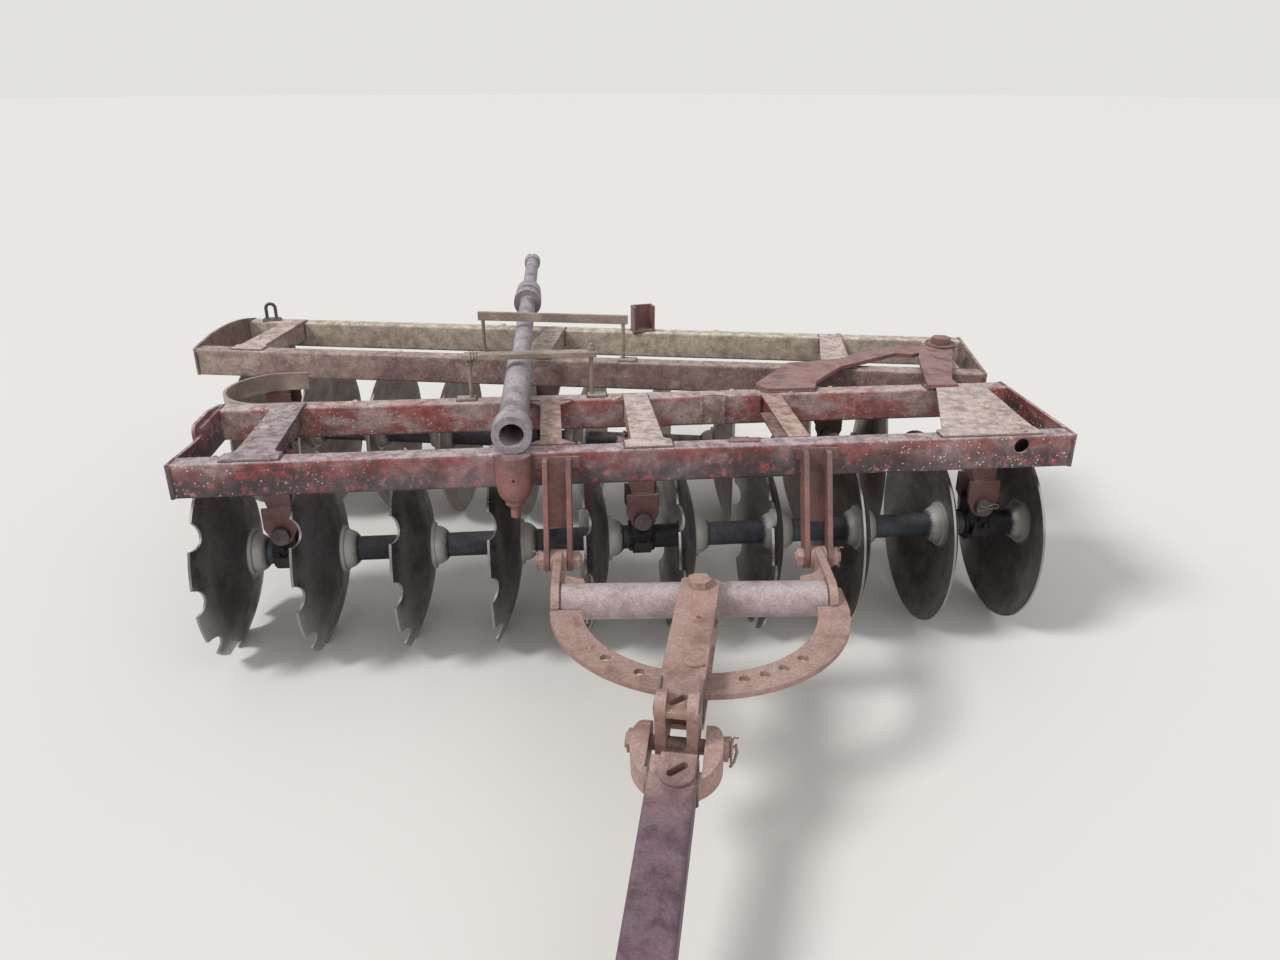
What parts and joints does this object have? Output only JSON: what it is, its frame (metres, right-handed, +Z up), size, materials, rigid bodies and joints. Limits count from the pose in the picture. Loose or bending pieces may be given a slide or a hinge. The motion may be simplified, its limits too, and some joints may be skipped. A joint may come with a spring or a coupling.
{
  "type": "trailed offset disc harrow",
  "caption": "Trailed offset disc harrow with two hinged box frames, a notched front disc gang, a plain rear disc gang, a quadrant hitch and a drawbar.",
  "frame": {"origin": "on the ground under the middle of the whole machine's box", "axes": "+Y points to the rear, so the harrow is pulled towards -Y; +X points to its left side; +Z is up"},
  "size_m": [2.966, 4.4889, 0.872],
  "materials": {
    "red_paint": "faded, chalky and chipped",
    "clay_paint": "dusted with dry clay",
    "rust_paint": "faded",
    "brown_paint": "weathered",
    "tan_paint": "dusty",
    "dark_disc": "dark, scoured bright at the rim",
    "dusty_disc": "dusty",
    "cast_spool": "worn smooth",
    "greasy_cast": "greasy",
    "worn_steel": "worn and stained",
    "spindle_steel": "dull",
    "drawbar_steel": "purple brown rust",
    "rusty_steel": "even dry rust"
  },
  "bodies": {
    "front_frame": {"front_beam": "red_paint", "second_beam": "red_paint", "front_end_plates": "red_paint", "front_rails": "clay_paint", "front_channels": "rust_paint", "front_hangers": "rusty_steel", "front_hanger_pins": "worn_steel", "front_bearings": "greasy_cast", "ear_brackets": "rusty_steel", "ear_pins": "worn_steel", "jack_socket": "rusty_steel", "hinge_bracket": "rusty_steel", "front_hoop": "tan_paint", "strap_loop": "rusty_steel", "spindle_tube": "spindle_steel", "spindle_rod": "spindle_steel"},
    "rear_frame": {"rear_front_beam": "brown_paint", "rear_back_beam": "tan_paint", "rear_end_plates": "brown_paint", "rear_rails": "clay_paint", "hinge_seat": "clay_paint", "hinge_pin": "worn_steel", "rear_hangers": "rusty_steel", "rear_hanger_pins": "worn_steel", "rear_bearings": "greasy_cast", "rear_hoop": "tan_paint", "post_bracket": "rusty_steel", "tow_hook": "drawbar_steel"},
    "front_gang": {"front_shaft": "worn_steel", "notched_discs": "dark_disc", "front_plain_discs": "dark_disc", "front_spools": "cast_spool"},
    "rear_gang": {"rear_shaft": "worn_steel", "rear_discs": "dusty_disc", "rear_spools": "cast_spool"},
    "hitch_frame": {"hitch_tube": "rusty_steel", "hitch_cheeks": "rusty_steel", "quadrant": "rusty_steel"},
    "drawbar_head": {"head_plates": "rusty_steel", "head_pin": "worn_steel"},
    "drawbar": {"drawbar_beam": "drawbar_steel", "knuckle_cheeks": "drawbar_steel", "knuckle_pin": "worn_steel", "hitch_eye": "drawbar_steel"}
  },
  "joints": [
    {"name": "frame_hinge", "type": "hinge", "parent": "front_frame", "child": "rear_frame", "pos_m": [1.27191, 1.05872, 0.718], "axis": [0, 0, 1], "range_deg": [-8, 3]},
    {"name": "front_gang_spin", "type": "hinge", "parent": "front_frame", "child": "front_gang", "pos_m": [0.21166, 0.36281, 0.305], "axis": [0.9957, 0.0924, 0], "continuous": true},
    {"name": "rear_gang_spin", "type": "hinge", "parent": "rear_frame", "child": "rear_gang", "pos_m": [-0.20988, 1.2197, 0.305], "axis": [0.9942, -0.108, 0], "continuous": true},
    {"name": "hitch_tilt", "type": "hinge", "parent": "front_frame", "child": "hitch_frame", "pos_m": [0.31322, 0.02575, 0.405], "axis": [-0.9996, -0.0279, 0], "range_deg": [0, 30]},
    {"name": "drawbar_swing", "type": "hinge", "parent": "hitch_frame", "child": "drawbar_head", "pos_m": [0.33139, -0.19482, 0.38], "axis": [0, 0, 1], "range_deg": [-36, 52]},
    {"name": "drawbar_pitch", "type": "hinge", "parent": "drawbar_head", "child": "drawbar", "pos_m": [0.26074, -0.66758, 0.32], "axis": [-0.989, 0.1478, 0], "range_deg": [-20, 0]}
  ]
}
